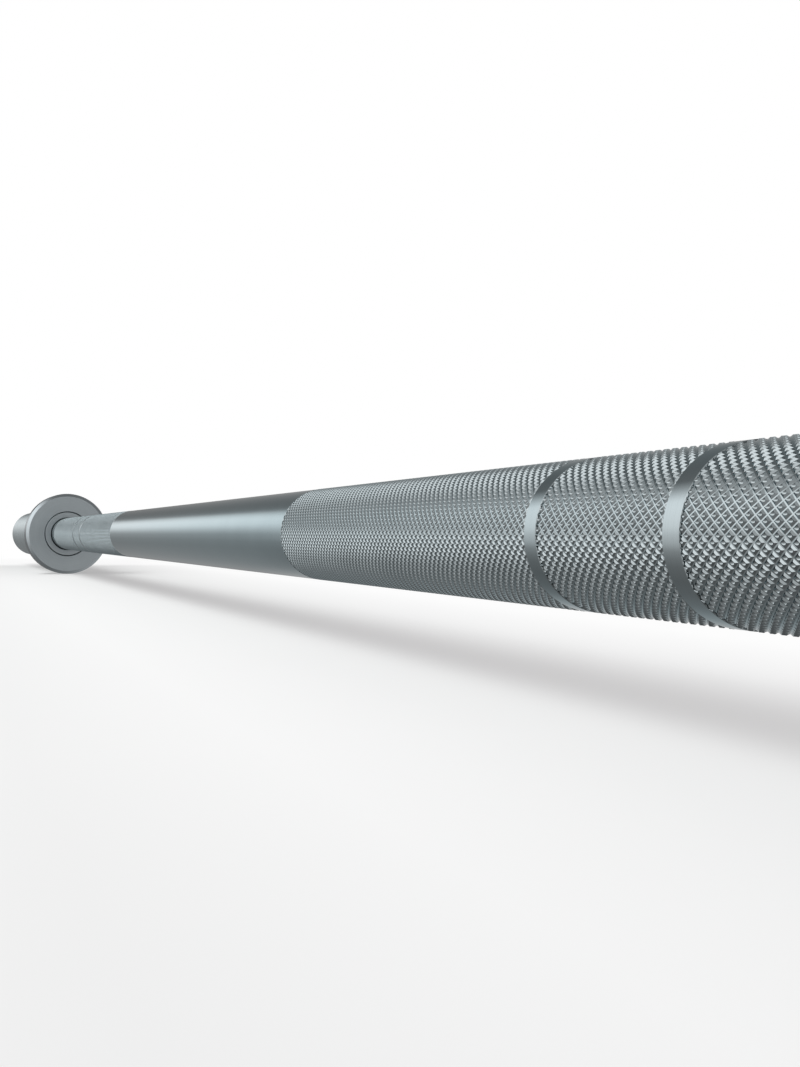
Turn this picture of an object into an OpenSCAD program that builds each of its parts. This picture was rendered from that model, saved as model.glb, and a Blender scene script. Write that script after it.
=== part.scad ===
// Straight weightlifting bar, in millimetres.
// X runs along the bar and +Z is up. The origin is on the shaft's axis, half way along the bar.
// Each end has a sleeve that turns on a bushing and on needle bearings.
// One end is modelled towards +X and mirrored for the other.

/* [Bar] */
// Length over the two sleeve ends
bar_length = 2200; // [2150:5:2250]
// Distance between the inner faces of the collars
grip_length = 1310; // [1290:5:1330]
// Diameter of the smooth grip
grip_d = 28; // [27.5:0.1:28.6]

/* [Knurling and ring marks] */
// Depth of the shaft's surface under the knurling, below the smooth grip
knurl_depth = 0.25; // [0.1:0.05:0.4]
// Length of the smooth middle
smooth_length = 435; // [120:5:500]
// Distance between the two inner ring marks
inner_mark_span = 810; // [780:5:840]
// Distance between the two outer ring marks
outer_mark_span = 910; // [880:5:940]
// Width of a ring mark
mark_w = 5; // [2:0.5:8]
// Plain neck between the knurling and the collar
neck_w = 8; // [4:1:20]

/* [Collar] */
// Diameter of the collar
collar_d = 72; // [68:1:80]
// Width of the collar along the bar
collar_w = 30; // [26:1:36]
// Thickness of the collar's inner wall
collar_wall = 8; // [7:0.5:10]
// Chamfer round the collar's inner face
collar_chamfer = 2.5; // [1:0.25:3]
// Chamfer round the collar's outer face
collar_back_chamfer = 1.5; // [0.5:0.25:3]

/* [Sleeve] */
// Diameter on which the plates ride
sleeve_d = 50; // [49:0.1:50.5]
// Diameter of the turned end that the collar sits on
spigot_d = 47; // [45:0.5:48]
// Bore between the two bearing seats
sleeve_bore_d = 27.4; // [27:0.1:30]
// Chamfer at the sleeve's open end
sleeve_chamfer = 2; // [0.5:0.25:3]

/* [Dust ring and seal] */
// Diameter of the dust ring in the collar's inner wall
dust_ring_d = 39.4; // [38.6:0.2:42]
// Depth of the dust ring's front below the collar's face
dust_ring_inset = 0.6; // [0.2:0.1:1.5]
// Gap all round between the dust ring and the shaft
dust_ring_gap = 0.25; // [0.15:0.05:0.5]
// Chamfer round the dust ring's front
dust_ring_chamfer = 0.5; // [0.2:0.1:1]
// Cord diameter of the seal
seal_cord_d = 2.6; // [2:0.1:3]

/* [Bushing] */
// Wall of the bushing
bushing_wall = 3; // [2.7:0.1:3.8]
// Length of the bushing
bushing_length = 25; // [18:1:32]

/* [Needle bearings] */
// Diameter of the shaft's journal
journal_d = 25; // [24.4:0.1:25.4]
// Diameter of a needle
needle_d = 2.4; // [2.2:0.05:2.6]
// Length of a needle
needle_length = 15.8; // [13:0.2:16.2]
// Needles in each bearing
needle_count = 20; // [16:1:22]
// Wall of a drawn cup
cup_wall = 1; // [0.8:0.05:1.2]
// Width of a drawn cup
cup_w = 20; // [19:0.5:24]
// Thickness of a cup's turned-in lips
lip_t = 0.8; // [0.6:0.05:1]
// Radial thickness of a cage
cage_t = 1.5; // [1.2:0.1:1.7]

/* [Thrust washers and retaining ring] */
// Thickness of the inner thrust washer
inner_washer_t = 2; // [1.5:0.25:3]
// Thickness of the outer thrust washer
outer_washer_t = 3; // [2:0.25:4]
// Diameter of the outer thrust washer
outer_washer_d = 35.4; // [34.8:0.2:38]
// Thickness of the retaining ring on the shaft
retaining_ring_t = 1.2; // [1:0.1:1.5]
// Radial width of the retaining ring
retaining_ring_b = 3; // [2.5:0.1:3.2]
// Depth of the retaining ring's groove
retaining_groove_depth = 0.55; // [0.4:0.05:0.8]
// Shaft left beyond the retaining ring
shaft_tail = 4; // [3:0.5:6]

/* [End cap] */
// Diameter of the end cap
cap_d = 42; // [40:0.5:43]
// Thickness of the end cap
cap_t = 5; // [4:0.5:8]
// Depth of the shallow dish in the end cap
cap_dish_depth = 0.8; // [0.4:0.1:1.5]
// Plain rim round the dish
cap_rim_w = 4.6; // [4.4:0.1:6]
// Free space between the shaft's end and the end cap
cap_room = 3; // [2:0.5:6]
// Thickness of the end cap's circlip
circlip_t = 1.75; // [1.5:0.05:2]
// Radial width of the circlip
circlip_b = 3.4; // [3:0.1:3.8]
// Depth of the circlip's groove
circlip_groove_depth = 1.25; // [0.8:0.05:1.5]
// Sleeve left beyond the circlip
circlip_inset = 3.5; // [3.2:0.1:5]

/* [Fits] */
// Radial clearance of parts that turn on each other
run_gap = 0.05; // [0.03:0.01:0.08]
// Radial clearance of parts that are pressed or fitted together
seat_gap = 0.02; // [0.01:0.01:0.04]
// Play along the bar between parts that turn on each other
end_play = 0.3; // [0.2:0.05:0.5]
// Clearance of a ring in the sides of its groove
groove_gap = 0.05; // [0.03:0.01:0.1]

/* [Hidden] */
$fn = 96;
grip_r = grip_d / 2;
root_r = grip_r - knurl_depth;
journal_r = journal_d / 2;
// Places along the bar, from the middle outwards
face_x = grip_length / 2;
end_x = bar_length / 2;
tube_x = face_x + collar_wall;
collar_back_x = face_x + collar_w;
bushing_end_x = tube_x + bushing_length;
shoulder_room = 1;
shoulder_x = bushing_end_x + shoulder_room;
inner_washer_end_x = shoulder_x + inner_washer_t;
pair_gap = 0.2;
pair_w = 2 * cup_w + pair_gap;
inner_pair_x = inner_washer_end_x + end_play;
inner_land_x = inner_pair_x + pair_w;
circlip_x = end_x - circlip_inset - circlip_t;
cap_x = circlip_x - groove_gap - cap_t;
shaft_end_x = cap_x - cap_room;
retaining_ring_x = shaft_end_x - shaft_tail - retaining_ring_t;
outer_washer_x = retaining_ring_x - outer_washer_t;
washer_step_x = outer_washer_x - end_play;
cup_setback = 0.5;
outer_pair_x = washer_step_x - cup_setback - pair_w;
// Radii of the bearings, from the journal outwards
raceway_r = journal_r + needle_d + 2 * run_gap;
cup_r = raceway_r + cup_wall;
bearing_seat_r = cup_r + seat_gap;
pitch_r = (journal_r + raceway_r) / 2;
lip_gap = 0.6;
lip_r = journal_r + lip_gap;
cage_end_gap = 0.2;
cage_length = cup_w - 2 * lip_t - 2 * cage_end_gap;
pocket_gap = 0.1;
// Radii of the other seats
bushing_r = grip_r + run_gap + bushing_wall;
bushing_seat_r = bushing_r + seat_gap;
washer_gap = 0.3;
inner_washer_r = cup_r - washer_gap;
outer_washer_r = outer_washer_d / 2;
washer_seat_r = outer_washer_r + washer_gap;
groove_r = journal_r - retaining_groove_depth;
cap_r = cap_d / 2;
cap_seat_r = cap_r + seat_gap;
circlip_groove_r = cap_seat_r + circlip_groove_depth;
spigot_r = spigot_d / 2;
// Small edges
fine_chamfer = 0.4;
edge_chamfer = 1;
centre_r = 3;
centre_depth = 5.2;
lug_hole_d = 1.6;
// Lugs of the spring rings, set back from the ring's edge
lug_r = 2.1;
lug_setback = 0.3;
ring_opening = 20;
lug_angle = 15;
// Cuts run past the faces they open
over = 1;

RIGHT = ["right_sleeve", "right_collar", "right_dust_ring", "right_seal", "right_bushing",
    "right_inner_thrust_washer", "right_inner_needle_cups", "right_inner_needle_cages",
    "right_inner_needles", "right_outer_needle_cups", "right_outer_needle_cages",
    "right_outer_needles", "right_outer_thrust_washer", "right_retaining_ring",
    "right_end_cap", "right_end_circlip"];
LEFT = ["left_sleeve", "left_collar", "left_dust_ring", "left_seal", "left_bushing",
    "left_inner_thrust_washer", "left_inner_needle_cups", "left_inner_needle_cages",
    "left_inner_needles", "left_outer_needle_cups", "left_outer_needle_cages",
    "left_outer_needles", "left_outer_thrust_washer", "left_retaining_ring",
    "left_end_cap", "left_end_circlip"];

// Turns a profile of [radius, place along the bar] points about the bar's axis
module turned(profile) {
    rotate([0, 90, 0])
        rotate_extrude(convexity = 6)
            polygon(profile);
}

// A plain ring between two places along the bar
module ring(outer_r, inner_r, from_x, to_x) {
    turned([[inner_r, from_x], [outer_r, from_x], [outer_r, to_x], [inner_r, to_x]]);
}

// A solid disc or plug, for cuts
module plug(r, from_x, to_x) {
    translate([from_x, 0, 0])
        rotate([0, 90, 0])
            cylinder(r = r, h = to_x - from_x);
}

// A knurled stretch or a ring mark changes the radius at both its ends
function step_down(from_x, to_x, outside_r, inside_r) =
    [[outside_r, from_x], [inside_r, from_x], [inside_r, to_x], [outside_r, to_x]];

// The outline of one half of the shaft, from the middle to the lathe centre in its end
function half_shaft() =
    let (
        inner_mark_x = inner_mark_span / 2,
        outer_mark_x = outer_mark_span / 2,
        half_mark = mark_w / 2,
        groove_end_x = retaining_ring_x + retaining_ring_t + groove_gap
    )
    concat(
        step_down(smooth_length / 2, inner_mark_x - half_mark, grip_r, root_r),
        step_down(inner_mark_x + half_mark, outer_mark_x - half_mark, grip_r, root_r),
        step_down(outer_mark_x + half_mark, face_x - neck_w, grip_r, root_r),
        [[grip_r, shoulder_x], [journal_r, shoulder_x]],
        step_down(retaining_ring_x - groove_gap, groove_end_x, journal_r, groove_r),
        [
            [journal_r, shaft_end_x - edge_chamfer],
            [journal_r - edge_chamfer, shaft_end_x],
            [centre_r, shaft_end_x],
            [0, shaft_end_x - centre_depth]
        ]
    );

function mirrored(points) =
    [for (i = [len(points) - 1 : -1 : 0]) [points[i][0], -points[i][1]]];

module shaft() {
    color("slategray")
        turned(concat(mirrored(half_shaft()), half_shaft()));
}

// The tube that carries the plates, with its seats for the bushing, bearings, washer and cap
module sleeve() {
    color("lightslategray")
        difference() {
            turned([
                [sleeve_bore_d / 2, tube_x],
                [spigot_r, tube_x],
                [spigot_r, collar_back_x],
                [sleeve_d / 2, collar_back_x],
                [sleeve_d / 2, end_x - sleeve_chamfer],
                [sleeve_d / 2 - sleeve_chamfer, end_x],
                [sleeve_bore_d / 2, end_x]
            ]);
            plug(bushing_seat_r, tube_x - over, bushing_end_x);
            plug(bearing_seat_r, bushing_end_x - over, inner_land_x);
            plug(bearing_seat_r, outer_pair_x, washer_step_x + over);
            plug(washer_seat_r, washer_step_x, cap_x + over);
            plug(cap_seat_r, cap_x, end_x + over);
            plug(circlip_groove_r, circlip_x - groove_gap, circlip_x + circlip_t + groove_gap);
        }
}

// The collar is a deep cup pushed over the sleeve's spigot
module collar() {
    r = collar_d / 2;
    mouth_r = dust_ring_d / 2 + seat_gap;
    color("gray")
        turned([
            [mouth_r + fine_chamfer, face_x],
            [r - collar_chamfer, face_x],
            [r, face_x + collar_chamfer],
            [r, collar_back_x - collar_back_chamfer],
            [r - collar_back_chamfer, collar_back_x],
            [spigot_r + seat_gap, collar_back_x],
            [spigot_r + seat_gap, tube_x],
            [mouth_r, tube_x],
            [mouth_r, face_x + fine_chamfer]
        ]);
}

// Fills the collar's mouth round the shaft and holds the seal in a groove
module dust_ring() {
    r = dust_ring_d / 2;
    bore_r = grip_r + dust_ring_gap;
    front_x = face_x + dust_ring_inset;
    middle_x = (front_x + tube_x) / 2;
    seal_groove_r = grip_r + run_gap + seal_cord_d + seat_gap;
    half_groove = seal_cord_d / 2 + groove_gap;
    color("dimgray")
        turned([
            [bore_r + fine_chamfer, front_x],
            [r - dust_ring_chamfer, front_x],
            [r, front_x + dust_ring_chamfer],
            [r, tube_x],
            [bore_r, tube_x],
            [bore_r, middle_x + half_groove],
            [seal_groove_r, middle_x + half_groove],
            [seal_groove_r, middle_x - half_groove],
            [bore_r, middle_x - half_groove],
            [bore_r, front_x + fine_chamfer]
        ]);
}

module seal() {
    seal_r = seal_cord_d / 2;
    middle_x = (face_x + dust_ring_inset + tube_x) / 2;
    color("black")
        translate([middle_x, 0, 0])
            rotate([0, 90, 0])
                rotate_extrude()
                    translate([grip_r + run_gap + seal_r, 0])
                        circle(r = seal_r, $fn = 48);
}

module bushing() {
    color("darkgoldenrod")
        ring(bushing_r, grip_r + run_gap, tube_x, bushing_end_x);
}

module inner_thrust_washer() {
    color("silver")
        ring(inner_washer_r, journal_r + run_gap, shoulder_x, inner_washer_end_x);
}

// Calls its children at each bearing of the pair that starts at from_x
module bearing_pair(from_x) {
    for (i = [0, 1])
        translate([from_x + i * (cup_w + pair_gap), 0, 0])
            children();
}

module needle_cup() {
    turned([
        [lip_r, 0],
        [cup_r - fine_chamfer, 0],
        [cup_r, fine_chamfer],
        [cup_r, cup_w - fine_chamfer],
        [cup_r - fine_chamfer, cup_w],
        [lip_r, cup_w],
        [lip_r, cup_w - lip_t],
        [raceway_r, cup_w - lip_t],
        [raceway_r, lip_t],
        [lip_r, lip_t]
    ]);
}

// A thin ring with one window for each needle
module needle_cage() {
    window_w = needle_d + 2 * pocket_gap;
    window_length = needle_length + 2 * pocket_gap;
    from_x = (cup_w - cage_length) / 2;
    difference() {
        ring(pitch_r + cage_t / 2, pitch_r - cage_t / 2, from_x, from_x + cage_length);
        for (i = [0 : needle_count - 1])
            rotate([i * 360 / needle_count, 0, 0])
                translate([(cup_w - window_length) / 2, -window_w / 2, pitch_r - cage_t])
                    cube([window_length, window_w, 2 * cage_t]);
    }
}

module needle_row() {
    for (i = [0 : needle_count - 1])
        rotate([i * 360 / needle_count, 0, 0])
            translate([(cup_w - needle_length) / 2, 0, pitch_r])
                rotate([0, 90, 0])
                    cylinder(d = needle_d, h = needle_length, $fn = 24);
}

module needle_cups(from_x) {
    color("darkgray")
        bearing_pair(from_x)
            needle_cup();
}

module needle_cages(from_x) {
    color("lightsteelblue")
        bearing_pair(from_x)
            needle_cage();
}

module needles(from_x) {
    color("gainsboro")
        bearing_pair(from_x)
            needle_row();
}

module outer_thrust_washer() {
    color("silver")
        ring(outer_washer_r, journal_r + run_gap, outer_washer_x, retaining_ring_x);
}

// A lug with its plier hole, on either side of a spring ring's opening
module lugs(at_r, from_x, thickness) {
    for (side = [-1, 1])
        rotate([side * lug_angle, 0, 0])
            translate([from_x, 0, at_r])
                rotate([0, 90, 0])
                    cylinder(r = lug_r, h = thickness, $fn = 32);
}

module lug_holes(at_r, from_x, thickness) {
    for (side = [-1, 1])
        rotate([side * lug_angle, 0, 0])
            translate([from_x - over, 0, at_r])
                rotate([0, 90, 0])
                    cylinder(d = lug_hole_d, h = thickness + 2 * over, $fn = 24);
}

// The wedge-shaped opening of a spring ring, at the top of the bar
module opening(reach, from_x, thickness) {
    half_w = reach * tan(ring_opening / 2);
    translate([from_x - over, 0, 0])
        rotate([90, 0, 90])
            linear_extrude(height = thickness + 2 * over)
                polygon([[0, 0], [half_w, reach], [-half_w, reach]]);
}

// Spring ring in the shaft's groove, with its lugs outwards
module retaining_ring() {
    inner_r = groove_r + seat_gap;
    outer_r = inner_r + retaining_ring_b;
    lug_at_r = inner_r + lug_setback + lug_r;
    color("darkslategray")
        difference() {
            union() {
                ring(outer_r, inner_r, retaining_ring_x, retaining_ring_x + retaining_ring_t);
                lugs(lug_at_r, retaining_ring_x, retaining_ring_t);
            }
            opening(2 * outer_r, retaining_ring_x, retaining_ring_t);
            lug_holes(lug_at_r, retaining_ring_x, retaining_ring_t);
        }
}

module end_cap() {
    back_x = cap_x + cap_t;
    dish_r = cap_r - cap_rim_w;
    color("lightgray")
        turned([
            [0, cap_x],
            [cap_r - fine_chamfer, cap_x],
            [cap_r, cap_x + fine_chamfer],
            [cap_r, back_x - fine_chamfer],
            [cap_r - fine_chamfer, back_x],
            [dish_r, back_x],
            [dish_r - cap_dish_depth, back_x - cap_dish_depth],
            [0, back_x - cap_dish_depth]
        ]);
}

// Spring ring in the sleeve's groove, with its lugs inwards
module end_circlip() {
    outer_r = circlip_groove_r - seat_gap;
    inner_r = outer_r - circlip_b;
    lug_at_r = outer_r - lug_setback - lug_r;
    color("darkslategray")
        difference() {
            union() {
                ring(outer_r, inner_r, circlip_x, circlip_x + circlip_t);
                lugs(lug_at_r, circlip_x, circlip_t);
            }
            opening(2 * outer_r, circlip_x, circlip_t);
            lug_holes(lug_at_r, circlip_x, circlip_t);
        }
}

module left() {
    mirror([1, 0, 0])
        children();
}

shaft();
sleeve();  // right_sleeve
collar();  // right_collar
dust_ring();  // right_dust_ring
seal();  // right_seal
bushing();  // right_bushing
inner_thrust_washer();  // right_inner_thrust_washer
needle_cups(inner_pair_x);  // right_inner_needle_cups
needle_cages(inner_pair_x);  // right_inner_needle_cages
needles(inner_pair_x);  // right_inner_needles
needle_cups(outer_pair_x);  // right_outer_needle_cups
needle_cages(outer_pair_x);  // right_outer_needle_cages
needles(outer_pair_x);  // right_outer_needles
outer_thrust_washer();  // right_outer_thrust_washer
retaining_ring();  // right_retaining_ring
end_cap();  // right_end_cap
end_circlip();  // right_end_circlip
left() sleeve();  // left_sleeve
left() collar();  // left_collar
left() dust_ring();  // left_dust_ring
left() seal();  // left_seal
left() bushing();  // left_bushing
left() inner_thrust_washer();  // left_inner_thrust_washer
left() needle_cups(inner_pair_x);  // left_inner_needle_cups
left() needle_cages(inner_pair_x);  // left_inner_needle_cages
left() needles(inner_pair_x);  // left_inner_needles
left() needle_cups(outer_pair_x);  // left_outer_needle_cups
left() needle_cages(outer_pair_x);  // left_outer_needle_cages
left() needles(outer_pair_x);  // left_outer_needles
left() outer_thrust_washer();  // left_outer_thrust_washer
left() retaining_ring();  // left_retaining_ring
left() end_cap();  // left_end_cap
left() end_circlip();  // left_end_circlip
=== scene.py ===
import math

import bpy
from bpy.props import FloatProperty, FloatVectorProperty, IntProperty, PointerProperty
from bpy.types import Operator, Panel, PropertyGroup
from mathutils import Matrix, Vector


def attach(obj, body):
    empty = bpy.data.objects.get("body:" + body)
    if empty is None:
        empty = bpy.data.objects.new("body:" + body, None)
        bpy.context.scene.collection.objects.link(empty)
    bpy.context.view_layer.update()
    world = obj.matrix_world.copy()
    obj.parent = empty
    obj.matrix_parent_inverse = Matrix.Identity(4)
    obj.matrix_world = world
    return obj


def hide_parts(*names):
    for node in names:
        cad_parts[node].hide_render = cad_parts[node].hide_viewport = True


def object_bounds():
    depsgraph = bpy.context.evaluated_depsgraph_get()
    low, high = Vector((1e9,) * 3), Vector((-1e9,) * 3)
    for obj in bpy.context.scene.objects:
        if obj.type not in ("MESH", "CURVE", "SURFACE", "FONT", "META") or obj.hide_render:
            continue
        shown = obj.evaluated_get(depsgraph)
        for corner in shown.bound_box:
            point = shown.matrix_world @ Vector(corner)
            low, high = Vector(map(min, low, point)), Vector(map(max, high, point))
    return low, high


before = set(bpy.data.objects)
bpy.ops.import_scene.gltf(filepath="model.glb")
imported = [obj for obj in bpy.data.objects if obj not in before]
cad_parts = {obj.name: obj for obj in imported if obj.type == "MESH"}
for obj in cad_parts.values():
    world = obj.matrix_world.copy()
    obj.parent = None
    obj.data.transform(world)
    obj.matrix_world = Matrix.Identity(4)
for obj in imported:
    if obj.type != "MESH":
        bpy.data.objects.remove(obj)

bl_info = {
    "name": "Barbell",
    "version": (1, 0, 0),
    "blender": (4, 5, 0),
    "location": "View3D > Sidebar > Barbell",
    "description": "A weightlifting bar with cut knurling, turned collars and sleeves that spin",
    "category": "Add Mesh",
}

MM = 0.001
# Two points closer than this are one point
SAME_POINT = 0.001 * MM
SIDES = ("left", "right")
CAD_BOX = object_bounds()
# The photograph's camera: its place, its turn away from the bar's direction, and its lens
VIEW_FROM = (632.9 * MM, -114.08 * MM, 0.27 * MM)
VIEW_OFF_AXIS = math.radians(18.428)
FOCAL_LENGTH_IN_MM = 47.21
SENSOR_WIDTH_IN_MM = 36


# Sizes and colours

class BarbellTurning(PropertyGroup):
    """How finely the turned pieces are cut"""
    steps_round: IntProperty(
        name="Steps round", description="Flats round a turned piece", default=192, min=48)
    edge_radius: FloatProperty(
        name="Edge radius", description="Rounding of the turned edges",
        default=0.15 * MM, unit="LENGTH", precision=5)


class BarbellKnurling(PropertyGroup):
    """Sizes of the knurling"""
    teeth_round: IntProperty(
        name="Teeth round", description="Diamonds round the bar", default=48, min=12)
    pitch: FloatProperty(
        name="Pitch", description="Length of a diamond along the bar",
        default=2.79 * MM, unit="LENGTH", precision=5)
    root_radius: FloatProperty(
        name="Root radius", description="Radius at the bottom of the grooves",
        default=13.8 * MM, unit="LENGTH", precision=5)
    groove_floor: FloatProperty(
        name="Groove floor", description="Width of the shallow floor at the bottom of a groove",
        default=0.24 * MM, unit="LENGTH", precision=5)
    groove_rise: FloatProperty(
        name="Groove rise", description="Height of the groove's floor at the foot of a tooth",
        default=0.02 * MM, unit="LENGTH", precision=5)
    rim_height: FloatProperty(
        name="Rim height", description="Height of a tooth's rim above the groove",
        default=0.24 * MM, unit="LENGTH", precision=5)
    rim_share: FloatProperty(
        name="Rim share", description="Size of the rim over the size of the tooth's foot",
        default=0.54, min=0.05, max=0.95)
    hollow_height: FloatProperty(
        name="Hollow height", description="Height of the hollow in a tooth's top above the groove",
        default=0.03 * MM, unit="LENGTH", precision=5)
    hollow_share: FloatProperty(
        name="Hollow share", description="Size of the hollow's floor over the tooth's foot",
        default=0.40, min=0.02, max=0.9)
    smoothing: FloatProperty(
        name="Smoothing", description="Edges that turn less than this are shaded round",
        default=math.radians(24), subtype="ANGLE")
    bore_share: FloatProperty(
        name="Bore share", description="Inner radius of the skin over its outer radius",
        default=0.965, min=0.5, max=0.99)


class BarbellColours(PropertyGroup):
    """Colours of the finishes"""
    shaft: FloatVectorProperty(
        name="Shaft", description="Ground steel of the shaft", subtype="COLOR",
        default=(0.27, 0.30, 0.31), min=0, max=1)
    sleeve: FloatVectorProperty(
        name="Sleeve", description="Satin chrome of the sleeves", subtype="COLOR",
        default=(0.385, 0.415, 0.425), min=0, max=1)
    collar: FloatVectorProperty(
        name="Collar", description="Satin chrome of the collars", subtype="COLOR",
        default=(0.30, 0.33, 0.345), min=0, max=1)


# Helpers for the hand tools

def nothing_selected():
    if bpy.context.object and bpy.context.object.mode == "EDIT":
        bpy.ops.object.mode_set(mode="OBJECT")
    bpy.ops.object.select_all(action="DESELECT")


def edit():
    bpy.ops.object.mode_set(mode="EDIT")


def done():
    bpy.ops.object.mode_set(mode="OBJECT")


def pick(wanted, kind="vertices"):
    """Selects what is wanted, in edit mode, by its place."""
    done()
    mesh = bpy.context.object.data
    for element in (*mesh.vertices, *mesh.edges, *mesh.polygons):
        element.select = False
    for element in getattr(mesh, kind):
        element.select = wanted(element)
    edit()
    modes = {"vertices": "VERT", "edges": "EDGE", "polygons": "FACE"}
    bpy.ops.mesh.select_mode(type=modes[kind])


def start(name, vertices):
    """A flat shape with that many corners at the origin, one unit from its middle to a corner."""
    nothing_selected()
    bpy.ops.mesh.primitive_circle_add(vertices=vertices, radius=1, fill_type="NGON")
    piece = bpy.context.object
    piece.name = name
    piece.data.name = name
    edit()
    bpy.ops.mesh.select_mode(type="VERT")
    bpy.ops.mesh.select_all(action="SELECT")
    return piece


def modify(kind, **settings):
    """Adds a modifier to the active piece and applies it."""
    modifier = bpy.context.object.modifiers.new(kind.title(), kind)
    for key, value in settings.items():
        setattr(modifier, key, value)
    bpy.ops.object.modifier_apply(modifier=modifier.name)


# Outlines of the turned pieces, from the frame

def outline_of(node):
    """The points (place along the bar, radius) of a turned CAD node, in their order round it.

    They are rounded to 0.01 mm, so that the copies of a point round the bar become one.
    """
    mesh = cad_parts[node].data
    place = [
        (round(v.co.x, 5), round(math.hypot(v.co.y, v.co.z), 5)) for v in mesh.vertices
    ]
    neighbours = {}
    for edge in mesh.edges:
        a, b = (place[i] for i in edge.vertices)
        if a != b:
            neighbours.setdefault(a, set()).add(b)
            neighbours.setdefault(b, set()).add(a)
    ends = sorted(p for p in neighbours if len(neighbours[p]) == 1)
    point = ends[0] if ends else min(neighbours)
    outline = [point]
    while True:
        onward = [p for p in sorted(neighbours[point]) if p not in outline]
        if not onward:
            break
        point = onward[0]
        outline.append(point)
    if not ends:
        return outline + outline[:1]
    on_axis = [[(p[0], 0.0)] if p[1] > 0 else [] for p in (outline[0], outline[-1])]
    return on_axis[0] + outline + on_axis[1]


def turn(name, outline, settings):
    """Turns an outline about the bar's axis, rounds its edges and shades it."""
    piece = start(name, 3)
    bpy.ops.mesh.merge(type="CENTER")
    x, r = outline[0]
    bpy.ops.transform.translate(value=(x, 0, r))
    for next_x, next_r in outline[1:]:
        bpy.ops.mesh.extrude_vertices_move(
            TRANSFORM_OT_translate={"value": (next_x - x, 0, next_r - r)})
        x, r = next_x, next_r
    bpy.ops.mesh.select_all(action="SELECT")
    bpy.ops.mesh.spin(
        steps=settings.steps_round, angle=math.tau, center=(0, 0, 0), axis=(1, 0, 0))
    bpy.ops.mesh.select_all(action="SELECT")
    bpy.ops.mesh.remove_doubles(threshold=SAME_POINT)
    bpy.ops.mesh.normals_make_consistent(inside=False)
    done()
    if settings.edge_radius > 0:
        modify(
            "BEVEL", width=settings.edge_radius, segments=2, limit_method="ANGLE",
            angle_limit=math.radians(30), use_clamp_overlap=True)
    bpy.ops.object.shade_smooth_by_angle(angle=math.radians(25))
    modify("WEIGHTED_NORMAL", keep_sharp=True)
    return piece


# Finishes

def shaded(colour, share):
    return tuple(c * share for c in colour)


def greys(*stops):
    """A ramp's stops, from pairs of a place and a grey level."""
    return [(place, (level,) * 3) for place, level in stops]


class Nodes:
    """Builds the nodes of a material or world with short calls."""

    def __init__(self, tree):
        self.tree = tree

    def node(self, kind, **settings):
        made = self.tree.nodes.new(kind)
        for key, value in settings.items():
            setattr(made, key, value)
        return made

    def link(self, source, target):
        self.tree.links.new(source, target)

    def put(self, value, target):
        """Links a node's output to a socket, or sets the socket to a plain value."""
        if isinstance(value, bpy.types.NodeSocket):
            self.link(value, target)
        else:
            target.default_value = value

    def math(self, operation, *values):
        made = self.node("ShaderNodeMath", operation=operation)
        for socket, value in zip(made.inputs, values):
            self.put(value, socket)
        return made.outputs[0]

    def fade(self, value, start, end, low=0.0, high=1.0):
        """Goes from low to high while a value goes from start to end."""
        made = self.node("ShaderNodeMapRange")
        sockets = {"From Min": start, "From Max": end, "To Min": low, "To Max": high}
        for name, number in sockets.items():
            made.inputs[name].default_value = number
        self.link(value, made.inputs["Value"])
        return made.outputs[0]

    def ramp(self, factor, stops):
        made = self.node("ShaderNodeValToRGB")
        ramp = made.color_ramp
        while len(ramp.elements) < len(stops):
            ramp.elements.new(1)
        for element, (place, colour) in zip(ramp.elements, stops):
            element.position = place
            element.color = (*colour, 1)
        self.link(factor, made.inputs["Fac"])
        return made.outputs["Color"]

    def mix_colours(self, share, first, second):
        made = self.node("ShaderNodeMix", data_type="RGBA")
        self.put(share, made.inputs["Factor"])
        self.put(first, made.inputs["A"])
        self.put(second, made.inputs["B"])
        return made.outputs["Result"]

    def mix_shaders(self, share, first, second):
        made = self.node("ShaderNodeMixShader")
        for socket, value in zip(made.inputs, (share, first, second)):
            self.put(value, socket)
        return made.outputs[0]

    def glow(self, colour, strength=1.0):
        made = self.node("ShaderNodeEmission")
        self.put(colour, made.inputs["Color"])
        self.put(strength, made.inputs["Strength"])
        return made.outputs[0]


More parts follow.
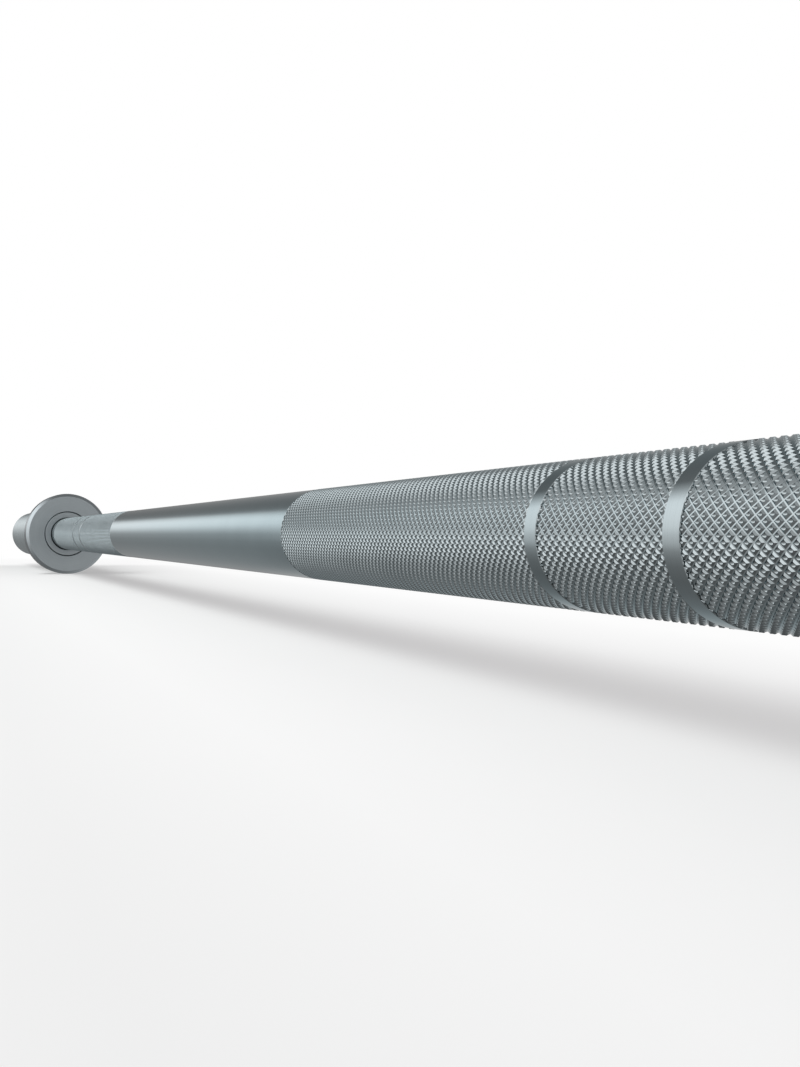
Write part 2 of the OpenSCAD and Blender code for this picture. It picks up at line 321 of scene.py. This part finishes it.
class Finish(Nodes):
    """A material with its nodes."""

    def __init__(self, name):
        self.material = bpy.data.materials.new(name)
        self.material.use_nodes = True
        super().__init__(self.material.node_tree)
        self.shader = self.tree.nodes["Principled BSDF"]

    def coordinates(self):
        """The piece's own coordinates, in metres."""
        return self.node("ShaderNodeTexCoord").outputs["Object"]

    def split_coordinates(self):
        """The piece's own coordinates as three numbers, X, Y and Z."""
        made = self.node("ShaderNodeSeparateXYZ")
        self.link(self.coordinates(), made.inputs[0])
        return made.outputs

    def place_and_radius(self):
        """The place along the bar's axis and the distance from it."""
        split = self.split_coordinates()
        radius = self.math(
            "SQRT",
            self.math("ADD", self.math("MULTIPLY", split["Y"], split["Y"]),
                      self.math("MULTIPLY", split["Z"], split["Z"])))
        return split["X"], radius

    def noise(self, vector, scale, detail):
        made = self.node("ShaderNodeTexNoise", noise_dimensions="3D")
        made.inputs["Scale"].default_value = scale
        made.inputs["Detail"].default_value = detail
        self.link(vector, made.inputs["Vector"])
        return made.outputs["Fac"]

    def lathe_marks(self, scale):
        """Noise that runs round the bar, on its sides and on its end faces alike."""
        place, radius = self.place_and_radius()
        join = self.node("ShaderNodeCombineXYZ")
        self.link(place, join.inputs["X"])
        self.link(radius, join.inputs["Y"])
        return self.noise(join.outputs[0], scale, detail=3)

    def blotches(self, scale):
        return self.noise(self.coordinates(), scale, detail=4)

    def spread(self, noise, low, high):
        """Stretches a noise's middle range to the values from low to high."""
        return self.fade(noise, 0.3, 0.7, low, high)

    def bump(self, height, distance):
        made = self.node("ShaderNodeBump")
        made.inputs["Strength"].default_value = 1
        made.inputs["Distance"].default_value = distance
        self.link(height, made.inputs["Height"])
        self.link(made.outputs[0], self.shader.inputs["Normal"])

    def show(self, surface):
        """Shows another surface than the plain shader."""
        self.link(surface, self.tree.nodes["Material Output"].inputs["Surface"])


# Width over which turned metal turns into polished metal
POLISH_FADE = 0.4 * MM


def turned_metal(
        name, colour, roughness, marks=2500, mark_depth=0.002 * MM, edge=0.61, polished=None):
    """Turned or ground metal: fine marks round the bar, faint blotches in tone and gloss.

    Marks is the scale of the marks' noise, and edge the highest part of the tint at flat angles.
    Polished holds a radius from which outwards the metal is polished, and its roughness there.
    """
    finish = Finish(name)
    finish.shader.inputs["Metallic"].default_value = 1
    tint = shaded(colour, edge / max(colour))
    finish.shader.inputs["Specular Tint"].default_value = (*tint, 1)
    lines = finish.lathe_marks(marks)
    blotch = finish.blotches(60)
    mixed = finish.math("ADD", finish.math("MULTIPLY", lines, 0.5),
                        finish.math("MULTIPLY", blotch, 0.5))
    finish.link(
        finish.ramp(mixed, [(0.35, shaded(colour, 0.94)), (0.65, shaded(colour, 1.06))]),
        finish.shader.inputs["Base Color"])
    gloss = finish.spread(mixed, roughness * 0.92, roughness * 1.08)
    if polished:
        from_radius, polish = polished
        _, radius = finish.place_and_radius()
        less = finish.fade(radius, from_radius, from_radius + POLISH_FADE, 1, polish / roughness)
        gloss = finish.math("MULTIPLY", gloss, less)
    finish.link(gloss, finish.shader.inputs["Roughness"])
    if mark_depth:
        finish.bump(lines, mark_depth)
    return finish.material


def rubber(name, colour, roughness):
    finish = Finish(name)
    grain = finish.blotches(900)
    finish.link(
        finish.ramp(grain, [(0.3, shaded(colour, 0.8)), (0.7, shaded(colour, 1.2))]),
        finish.shader.inputs["Base Color"])
    finish.link(finish.spread(grain, roughness * 0.9, roughness), finish.shader.inputs["Roughness"])
    finish.bump(grain, 0.02 * MM)
    return finish.material


def dress(piece, material):
    piece.data.materials.clear()
    piece.data.materials.append(material)


def dress_node(node, material):
    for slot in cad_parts[node].material_slots:
        slot.material = material


# Pieces

class BarbellPiece:
    bl_options = {"REGISTER", "UNDO"}

    @property
    def turning(self):
        return bpy.context.scene.barbell_turning

    @property
    def colours(self):
        return bpy.context.scene.barbell_colours

    def turn_node(self, node, name, body, slot, material):
        """A finely turned piece in place of a turned CAD node."""
        piece = turn(name, outline_of(node), self.turning)
        dress(piece, material)
        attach(piece, body)
        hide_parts(node)

    def turn_both(self, part, slot, material):
        """The same piece at the left end and at the right end."""
        for side in SIDES:
            self.turn_node(
                f"{side}_{part}", f"{side}_turned_{part}", f"{side}_sleeve", slot, material)


class BARBELL_OT_shaft(BarbellPiece, Operator):
    """Turns the shaft with its smooth middle, ring marks and journals"""
    bl_idname = "barbell.shaft"
    bl_label = "Turn the Shaft"

    def execute(self, context):
        steel = turned_metal("ground_steel", self.colours.shaft, roughness=0.1)
        self.turn_node("shaft", "turned_shaft", "shaft", "shaft_steel", steel)
        return {"FINISHED"}


def knurled_stretches():
    """Where the CAD shaft is cut back for the knurling, from end to end."""
    outline = outline_of("shaft")
    grip = max(r for x, r in outline)
    # Within half a metre of the middle, only the knurled stretches lie below the grip's radius
    root = max(r for x, r in outline if r < grip and abs(x) < 0.5)
    return [
        tuple(sorted((a[0], b[0])))
        for a, b in zip(outline, outline[1:])
        if a[1] == b[1] == root
    ]


class BARBELL_OT_knurling(BarbellPiece, Operator):
    """Cuts the shaft's six stretches of diamond knurling"""
    bl_idname = "barbell.knurling"
    bl_label = "Cut the Knurling"

    def tooth(self, name, size):
        """One diamond: groove floor, four flanks, a rim and a hollow in its top."""
        half_step = math.pi / size.teeth_round
        half_width = size.root_radius * math.sin(half_step)
        piece = start(name, 4)
        bpy.ops.transform.resize(value=(size.pitch / 2, half_width, 1))
        bpy.ops.transform.translate(value=(0, 0, size.root_radius))
        pick(lambda v: abs(v.co.y) > half_width / 2)
        sag = size.root_radius * (1 - math.cos(half_step))
        bpy.ops.transform.translate(value=(0, 0, -sag))
        pick(lambda f: True, "polygons")
        bpy.ops.mesh.inset(thickness=size.groove_floor / 2, depth=size.groove_rise)
        height, share = size.groove_rise, 1
        levels = (
            (size.rim_height, size.rim_share),
            (size.hollow_height, size.hollow_share),
        )
        for next_height, next_share in levels:
            bpy.ops.mesh.extrude_region_move(
                TRANSFORM_OT_translate={"value": (0, 0, next_height - height)})
            scale = next_share / share
            bpy.ops.transform.resize(
                value=(scale, scale, 1), center_override=(0, 0, size.root_radius))
            height, share = next_height, next_share
        done()
        bpy.ops.object.shade_smooth_by_angle(angle=size.smoothing)
        edit()
        # The hollow is a round dish: its inner edges are smoothed over
        corners = piece.data.vertices

        def reach(number):
            """0 in the tooth's middle, 1 at the edge of its foot."""
            place = corners[number].co
            return abs(place.x) * 2 / size.pitch + abs(place.y) / half_width

        inside_rim = size.rim_share * 0.7
        pick(lambda e: min(reach(v) for v in e.vertices) < inside_rim, "edges")
        bpy.ops.mesh.mark_sharp(clear=True)
        bpy.ops.mesh.select_mode(type="VERT")
        return piece

    def stretch(self, name, from_x, to_x, size):
        step = math.tau / size.teeth_round
        piece = self.tooth(name, size)
        bpy.ops.mesh.select_all(action="SELECT")
        bpy.ops.mesh.duplicate_move(TRANSFORM_OT_translate={"value": (size.pitch / 2, 0, 0)})
        bpy.ops.transform.rotate(value=step / 2, orient_axis="X", center_override=(0, 0, 0))
        bpy.ops.mesh.select_all(action="SELECT")
        bpy.ops.mesh.spin(
            steps=size.teeth_round - 1, dupli=True, angle=math.tau - step,
            center=(0, 0, 0), axis=(1, 0, 0))
        # At least three rows too many, with their middle at the origin: the ends are cut off below
        rows = 2 * math.ceil((to_x - from_x) / size.pitch / 2) + 3
        bpy.ops.mesh.select_all(action="SELECT")
        bpy.ops.transform.translate(value=(-(rows - 0.5) / 2 * size.pitch, 0, 0))
        done()
        modify(
            "ARRAY", count=rows, use_relative_offset=False,
            use_constant_offset=True, constant_offset_displace=(size.pitch, 0, 0))
        edit()
        bpy.ops.mesh.select_all(action="SELECT")
        bpy.ops.mesh.remove_doubles(threshold=SAME_POINT)
        middle = (from_x + to_x) / 2
        bpy.ops.transform.translate(value=(middle, 0, 0))
        for place, side in ((from_x, -1), (to_x, 1)):
            bpy.ops.mesh.select_all(action="SELECT")
            bpy.ops.mesh.bisect(
                plane_co=(place, 0, 0), plane_no=(side, 0, 0), clear_outer=True,
                threshold=SAME_POINT / 10)
        ends = (from_x, to_x)
        pick(lambda v: min(abs(v.co.x - end) for end in ends) < SAME_POINT)
        bpy.ops.mesh.extrude_region()
        bpy.ops.transform.resize(
            value=(1, size.bore_share, size.bore_share), center_override=(middle, 0, 0))
        bpy.ops.mesh.bridge_edge_loops()
        bpy.ops.mesh.select_all(action="SELECT")
        bpy.ops.mesh.normals_make_consistent(inside=False)
        done()
        return piece

    def execute(self, context):
        size = context.scene.barbell_knurling
        steel = turned_metal(
            "knurled_steel", self.colours.shaft, roughness=0.1, mark_depth=0)
        clearance = 0.02 * MM
        for number, (from_x, to_x) in enumerate(sorted(knurled_stretches()), start=1):
            piece = self.stretch(
                f"knurling_{number}", from_x + clearance, to_x - clearance, size)
            dress(piece, steel)
            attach(piece, "shaft")
        return {"FINISHED"}


class BARBELL_OT_collars(BarbellPiece, Operator):
    """Turns the two collars"""
    bl_idname = "barbell.collars"
    bl_label = "Turn the Collars"

    def execute(self, context):
        rim = max(r for x, r in outline_of("left_collar"))
        polished_rim = 0.6 * MM
        chrome = turned_metal(
            "collar_satin", self.colours.collar, roughness=0.3,
            polished=(rim - polished_rim, 0.11))
        self.turn_both("collar", "collar_chrome", chrome)
        return {"FINISHED"}


class BARBELL_OT_dust_rings(BarbellPiece, Operator):
    """Turns the rings in the collars' faces"""
    bl_idname = "barbell.dust_rings"
    bl_label = "Turn the Dust Rings"

    def execute(self, context):
        steel = turned_metal("dust_ring_satin", self.colours.collar, roughness=0.32)
        self.turn_both("dust_ring", "dust_ring_steel", steel)
        return {"FINISHED"}


class BARBELL_OT_sleeves(BarbellPiece, Operator):
    """Turns the two sleeves"""
    bl_idname = "barbell.sleeves"
    bl_label = "Turn the Sleeves"

    def execute(self, context):
        chrome = turned_metal("sleeve_satin", self.colours.sleeve, roughness=0.26)
        self.turn_both("sleeve", "sleeve_chrome", chrome)
        return {"FINISHED"}


class BARBELL_OT_end_caps(BarbellPiece, Operator):
    """Turns the caps in the sleeves' ends"""
    bl_idname = "barbell.end_caps"
    bl_label = "Turn the End Caps"

    def execute(self, context):
        aluminium = turned_metal("cap_aluminium_satin", (0.55, 0.57, 0.58), roughness=0.34)
        self.turn_both("end_cap", "cap_aluminium", aluminium)
        return {"FINISHED"}


class BARBELL_OT_inside(BarbellPiece, Operator):
    """Gives the bearings, seals and spring rings their finishes"""
    bl_idname = "barbell.inside"
    bl_label = "Finish the Inside"

    def execute(self, context):
        bearing_steel = turned_metal("bearing_steel_ground", (0.52, 0.53, 0.55), roughness=0.16)
        seal_rubber = rubber("seal_rubber_grey", (0.13, 0.135, 0.14), roughness=0.6)
        bronze = turned_metal("bronze_sintered", (0.45, 0.27, 0.12), roughness=0.36)
        cage_steel = turned_metal("cage_steel_pressed", (0.36, 0.38, 0.42), roughness=0.32)
        spring_steel = turned_metal("spring_steel_black", (0.07, 0.072, 0.075), roughness=0.38)
        finishes = {
            "seal": seal_rubber,
            "bushing": bronze,
            "inner_thrust_washer": bearing_steel,
            "outer_thrust_washer": bearing_steel,
            "inner_needle_cups": bearing_steel,
            "outer_needle_cups": bearing_steel,
            "inner_needles": bearing_steel,
            "outer_needles": bearing_steel,
            "inner_needle_cages": cage_steel,
            "outer_needle_cages": cage_steel,
            "retaining_ring": spring_steel,
            "end_circlip": spring_steel,
        }
        for side in SIDES:
            for node, material in finishes.items():
                dress_node(f"{side}_{node}", material)
        return {"FINISHED"}


# Stage

WHITE = (1, 1, 1, 1)
# Half the floor's side
FLOOR_REACH = 12
# Where the floor begins to turn white, and where it is white, in front of the camera
WHITE_BEGINS = 1.56
WHITE_REACHED = 1.66
# The share of the floor's tone that the camera sees without its light and shade
FLOOR_EVEN_SHARE = 0.475
# The tent's radius, and its ends along the bar
TENT_RADIUS = 0.6
TENT_FAR_END = -30.0
TENT_NEAR_END = 1.6


class BARBELL_OT_stage(Operator):
    """Sets the floor, the lights, the world and the camera"""
    bl_idname = "barbell.stage"
    bl_label = "Set the Stage"
    bl_options = {"REGISTER", "UNDO"}

    def floor(self, level):
        """A light grey floor with painted shade, darker on the near side and towards the far end,
        that turns white.
        """
        nothing_selected()
        bpy.ops.mesh.primitive_plane_add(size=2)
        floor = bpy.context.object
        floor.name = "floor"
        edit()
        bpy.ops.mesh.select_all(action="SELECT")
        bpy.ops.transform.resize(value=(FLOOR_REACH, FLOOR_REACH, 1))
        bpy.ops.transform.translate(value=(0, 0, level))
        done()
        finish = Finish("floor_white")
        split = finish.split_coordinates()
        # Painted shade and light across the bar: the floor's tone is darker on the near side and
        # lighter behind the bar, as the light falls there
        pale_and_painted_shade = finish.ramp(finish.fade(split["Y"], -0.25, 0.25), greys(
            (0.20, 0.85), (0.30, 0.85), (0.38, 0.92), (0.46, 0.925), (0.70, 0.95), (0.85, 0.985)))
        # Painted shade along the bar: darker towards the far end, where the key light is stronger
        along = finish.ramp(finish.fade(split["X"], -0.8, 0.4), greys(
            (0, 0.80), (0.1, 0.81), (0.2, 0.84), (0.75, 0.95), (1, 1.0)))
        # The floor's own tone times the painted shade across and along the bar
        floor_tone_with_painted_shade = finish.node("ShaderNodeVectorMath", operation="SCALE")
        finish.link(pale_and_painted_shade, floor_tone_with_painted_shade.inputs[0])
        finish.link(along, floor_tone_with_painted_shade.inputs["Scale"])
        # It turns white at a distance from the photograph's camera, measured along its view
        depth = finish.math(
            "ADD", finish.math("MULTIPLY", split["X"], -math.cos(VIEW_OFF_AXIS)),
            finish.math("MULTIPLY", split["Y"], math.sin(VIEW_OFF_AXIS)))
        camera_depth = (
            VIEW_FROM[1] * math.sin(VIEW_OFF_AXIS) - VIEW_FROM[0] * math.cos(VIEW_OFF_AXIS))
        whiter = finish.fade(depth, camera_depth + WHITE_BEGINS, camera_depth + WHITE_REACHED)
        tone = finish.mix_colours(whiter, floor_tone_with_painted_shade.outputs[0], WHITE)
        finish.link(tone, finish.shader.inputs["Base Color"])
        finish.shader.inputs["Roughness"].default_value = 0.9
        finish.shader.inputs["Specular IOR Level"].default_value = 0
        # Away from the bar it is plain white to the camera
        beyond_sides = finish.ramp(finish.fade(split["Y"], -0.7, 0.7), greys(
            (0, 1), (0.4, 0), (0.55, 0), (0.607, 0.85), (0.93, 1)))
        beyond_ends = finish.ramp(finish.fade(split["X"], -2, 2), greys(
            (0.125, 1), (0.2, 0.7), (0.27, 0), (0.7, 0), (0.9, 1)))
        beyond = finish.math("MAXIMUM", beyond_sides, beyond_ends)
        seen = finish.node("ShaderNodeLightPath").outputs["Is Camera Ray"]
        near = finish.mix_shaders(
            finish.math("MULTIPLY", seen, FLOOR_EVEN_SHARE),
            finish.shader.outputs[0], finish.glow(tone))
        finish.show(finish.mix_shaders(
            finish.math("MULTIPLY", beyond, seen), near, finish.glow(WHITE)))
        dress(floor, finish.material)
        floor.visible_glossy = False

    def tent(self):
        """A light tent round the bar that only polished metal sees."""
        nothing_selected()
        bpy.ops.mesh.primitive_cylinder_add(
            vertices=96, radius=TENT_RADIUS, depth=TENT_NEAR_END - TENT_FAR_END,
            end_fill_type="NOTHING", location=((TENT_FAR_END + TENT_NEAR_END) / 2, 0, 0),
            rotation=(0, math.pi / 2, 0))
        tent = bpy.context.object
        tent.name = "light_tent"
        bpy.ops.object.transform_apply(location=True, rotation=True, scale=True)
        finish = Finish("tent_cloth")
        split = finish.split_coordinates()
        across = finish.math("MULTIPLY", split["Y"], -1.0)
        angle = finish.math("ARCTAN2", split["Z"], across)
        turn_share = finish.math("MULTIPLY_ADD", angle, 1 / math.tau, 0.5)

        def cloth(*stops):
            """The brightness round the bar: pairs of an angle above the near side and a level."""
            return finish.ramp(
                turn_share, greys(*((degrees / 360 + 0.5, level) for degrees, level in stops)))

        # The levels of middle and beyond come from tones of the photograph, and are retouched
        beside = cloth(
            (-180, 0.40), (-140, 0.40), (-100, 0.30), (-75, 0.20), (-50, 0.28), (-35, 0.40),
            (-10, 0.70), (3, 0.90), (12, 1.4), (24, 2.3), (42, 2.35), (53, 0.75), (64, 0.7),
            (78, 0.9), (92, 1.0), (104, 0.75), (116, 0.35), (135, 0.25), (155, 0.3), (180, 0.4))
        middle = cloth(
            (-180, 0.60), (-150, 0.75), (-140, 0.85), (-120, 0.78), (-100, 0.52), (-80, 0.39),
            (-60, 0.34), (-40, 0.41), (-30, 0.53), (-20, 0.73), (-10, 1.23), (0, 1.55), (10, 2.0),
            (20, 2.2), (35, 2.35), (43, 2.3), (50, 1.8), (60, 0.95), (70, 0.39), (90, 0.36),
            (120, 0.42), (180, 0.50))
        beyond = cloth(
            (-180, 0.32), (-150, 0.38), (-120, 0.49), (-80, 0.54), (-40, 0.56), (-20, 0.64),
            (-10, 0.76), (0, 0.87), (10, 1.21), (20, 1.69), (30, 2.11), (42, 2.25), (51, 2.1),
            (61, 1.5), (68, 0.75), (74, 0.48), (85, 0.38), (100, 0.34), (140, 0.36), (180, 0.38))
        place = split["X"]
        nearer = finish.mix_colours(finish.fade(place, -0.1, -0.4), beside, middle)
        level = finish.mix_colours(finish.fade(place, -1.0, -2.5), nearer, beyond)
        # Far away it is darker, in two steps
        strength = finish.math(
            "MULTIPLY", finish.fade(place, -2.5, -5.0, 1, 0.76),
            finish.fade(place, -5.0, -9.0, 1, 0.35))
        finish.show(finish.glow(level, strength))
        dress(tent, finish.material)
        tent.visible_camera = False
        tent.visible_diffuse = False
        tent.visible_transmission = False
        tent.visible_shadow = False

    def key_light(self):
        """A long soft box on the near side, nearer to the bar at its far end."""
        height = math.radians(40.6)
        turned_in = math.radians(17.2)
        bpy.ops.object.light_add(
            type="AREA", location=(0.16, -0.56, 0.48),
            rotation=(math.pi / 2 - height, 0, -turned_in))
        lamp = bpy.context.object
        lamp.name = "key_light"
        lamp.data.color = (0.972, 1, 0.99)
        lamp.data.shape = "RECTANGLE"
        lamp.data.size = 2.6
        lamp.data.size_y = 0.24
        radiance = 6.97
        lamp.data.energy = radiance * math.pi * lamp.data.size * lamp.data.size_y
        lamp.visible_glossy = False

    def world(self):
        """White behind the bar and in its reflections, a soft, faintly pink level elsewhere."""
        world = bpy.data.worlds.new("studio")
        bpy.context.scene.world = world
        world.use_nodes = True
        nodes = Nodes(world.node_tree)
        soft = nodes.tree.nodes["Background"]
        soft.inputs["Color"].default_value = (1, 0.945, 0.965, 1)
        soft.inputs["Strength"].default_value = 0.36
        white = nodes.node("ShaderNodeBackground")
        white.inputs["Color"].default_value = WHITE
        white.inputs["Strength"].default_value = 1
        rays = nodes.node("ShaderNodeLightPath").outputs
        seen = nodes.math("MAXIMUM", rays["Is Camera Ray"], rays["Is Glossy Ray"])
        through = nodes.math("MAXIMUM", seen, rays["Is Transmission Ray"])
        nodes.link(
            nodes.mix_shaders(through, soft.outputs[0], white.outputs[0]),
            nodes.tree.nodes["World Output"].inputs["Surface"])

    def camera(self):
        """The photograph's view: level with the bar, close beside it, looking along it."""
        bpy.ops.object.camera_add(
            location=VIEW_FROM, rotation=(math.pi / 2, 0, math.pi / 2 - VIEW_OFF_AXIS))
        camera = bpy.context.object
        camera.name = "photo_camera"
        camera.data.sensor_width = SENSOR_WIDTH_IN_MM
        camera.data.lens = FOCAL_LENGTH_IN_MM
        camera.data.clip_start = 0.01
        camera.data.clip_end = 100
        bpy.context.scene.camera = camera

    def execute(self, context):
        self.floor(CAD_BOX[0].z)
        self.tent()
        self.key_light()
        self.world()
        self.camera()
        context.scene.view_settings.view_transform = "Standard"
        return {"FINISHED"}


OPERATORS = (
    BARBELL_OT_shaft, BARBELL_OT_knurling, BARBELL_OT_collars, BARBELL_OT_dust_rings,
    BARBELL_OT_sleeves, BARBELL_OT_end_caps, BARBELL_OT_inside, BARBELL_OT_stage,
)


class BARBELL_PT_panel(Panel):
    """Lists the barbell's pieces, its stage and its sizes"""
    bl_idname = "BARBELL_PT_panel"
    bl_label = "Barbell"
    bl_space_type = "VIEW_3D"
    bl_region_type = "UI"
    bl_category = "Barbell"

    def draw(self, context):
        for operator in OPERATORS:
            self.layout.operator(operator.bl_idname)
        for settings in ("barbell_turning", "barbell_knurling", "barbell_colours"):
            group = getattr(context.scene, settings)
            for name in group.bl_rna.properties.keys():
                if name not in ("rna_type", "name"):
                    self.layout.prop(group, name)


GROUPS = {
    "barbell_turning": BarbellTurning,
    "barbell_knurling": BarbellKnurling,
    "barbell_colours": BarbellColours,
}


def register():
    for group in (*GROUPS.values(), *OPERATORS, BARBELL_PT_panel):
        bpy.utils.register_class(group)
    for name, group in GROUPS.items():
        setattr(bpy.types.Scene, name, PointerProperty(type=group))


def unregister():
    for name in GROUPS:
        delattr(bpy.types.Scene, name)
    for group in (BARBELL_PT_panel, *reversed(OPERATORS), *reversed(GROUPS.values())):
        bpy.utils.unregister_class(group)


def main():
    register()
    bpy.ops.barbell.shaft()
    bpy.ops.barbell.knurling()
    bpy.ops.barbell.collars()
    bpy.ops.barbell.dust_rings()
    bpy.ops.barbell.sleeves()
    bpy.ops.barbell.end_caps()
    bpy.ops.barbell.inside()
    bpy.ops.barbell.stage()
    bpy.context.view_layer.update()


if __name__ == "__main__":
    main()
